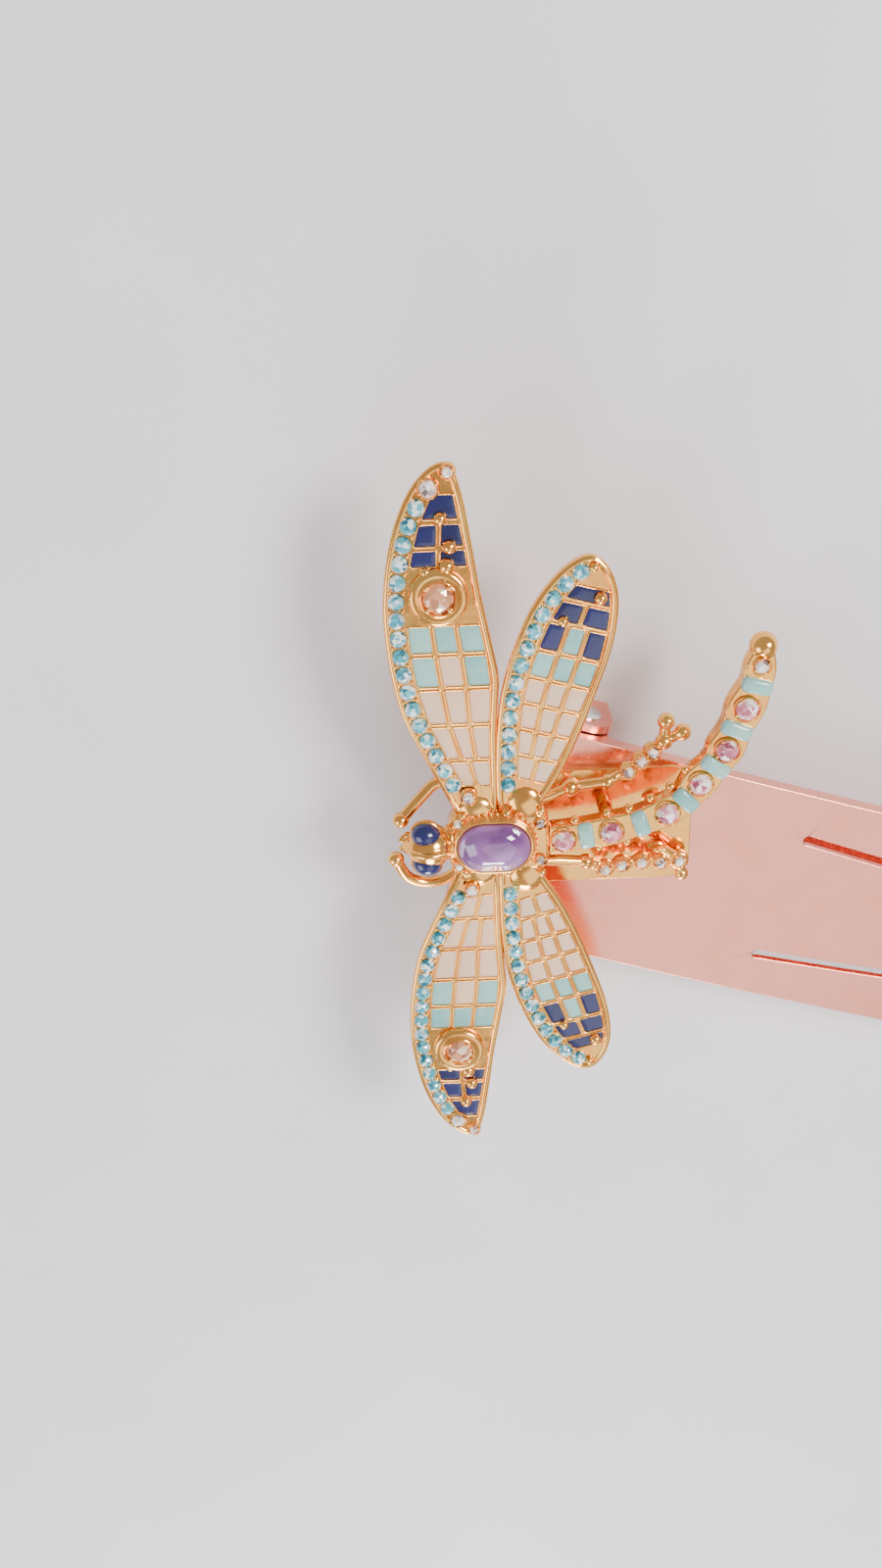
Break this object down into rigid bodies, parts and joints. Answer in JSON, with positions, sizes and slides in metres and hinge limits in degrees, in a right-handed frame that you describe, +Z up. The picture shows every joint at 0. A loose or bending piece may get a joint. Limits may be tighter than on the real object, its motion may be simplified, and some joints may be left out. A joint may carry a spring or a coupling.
{
  "type": "dragonfly hair clip",
  "caption": "Wide sprung metal hair clip with a slotted bowed jaw, and a gold dragonfly over its hinge with enamelled wings, stone-set edges and an oval purple cabochon.",
  "frame": {"origin": "On the underside of the lower jaw, straight below the middle of the hinge line, where the clip rests on a flat surface.", "axes": "+X runs along the clip from the hinge towards the beak's tip, +Y runs across the clip along the hinge line towards the side that the abdomen curves to, and +Z points up out of the ornament's face."},
  "size_m": [0.1315, 0.0694, 0.0168],
  "materials": {
    "gold_plate": "bright yellow-gold plating on a cast base",
    "rose_plate": "polished pale rose-gold plating on sheet steel",
    "spring_steel": "bright drawn wire",
    "navy_enamel": "deep navy enamel, domed and glossy",
    "aqua_enamel": "pale aqua enamel, domed and glossy",
    "cream_enamel": "cream enamel, domed and glossy",
    "aqua_stone": "small cut aqua stones",
    "pink_stone": "cut pink stones",
    "clear_stone": "small cut clear stones",
    "champagne_stone": "larger cut champagne stones",
    "amethyst": "smooth domed purple stone"
  },
  "bodies": {
    "lower_jaw": {"lower_jaw": "rose_plate", "hinge_pin": "spring_steel"},
    "upper_jaw": {"upper_jaw": "rose_plate", "torsion_spring": "spring_steel", "mount_plate": "gold_plate", "plate_rivets": "gold_plate", "body_posts": "gold_plate", "thorax": "gold_plate", "cabochon_bezel": "gold_plate", "head": "gold_plate", "forewing_left": "gold_plate", "forewing_right": "gold_plate", "hindwing_left": "gold_plate", "hindwing_right": "gold_plate", "tip_bezel_left": "gold_plate", "tip_bezel_right": "gold_plate", "abdomen": "gold_plate", "tail_tip": "gold_plate", "front_leg_left": "gold_plate", "front_leg_right": "gold_plate", "hind_leg_left": "gold_plate", "hind_leg_right": "gold_plate", "cabochon": "amethyst", "thorax_stones": "clear_stone", "leg_stones_left": "clear_stone", "leg_stones_right": "clear_stone", "tip_stone_left": "champagne_stone", "tip_stone_right": "champagne_stone", "eye_left": "navy_enamel", "eye_right": "navy_enamel", "forewing_navy_left": "navy_enamel", "forewing_aqua_left": "aqua_enamel", "forewing_cream_left": "cream_enamel", "forewing_stones_left": "aqua_stone", "forewing_navy_right": "navy_enamel", "forewing_aqua_right": "aqua_enamel", "forewing_cream_right": "cream_enamel", "forewing_stones_right": "aqua_stone", "hindwing_navy_left": "navy_enamel", "hindwing_aqua_left": "aqua_enamel", "hindwing_cream_left": "cream_enamel", "hindwing_stones_left": "aqua_stone", "hindwing_navy_right": "navy_enamel", "hindwing_aqua_right": "aqua_enamel", "hindwing_cream_right": "cream_enamel", "hindwing_stones_right": "aqua_stone", "abdomen_enamel": "aqua_enamel", "abdomen_stones": "pink_stone"}
  },
  "joints": [
    {"name": "jaw_hinge", "type": "hinge", "parent": "lower_jaw", "child": "upper_jaw", "pos_m": [0, 0, 0.0042], "axis": [0, -1, 0], "range_deg": [0, 28], "stiffness_Nm_per_rad": 0.12, "springref_deg": -20.05, "deforming": ["torsion_spring"]}
  ]
}
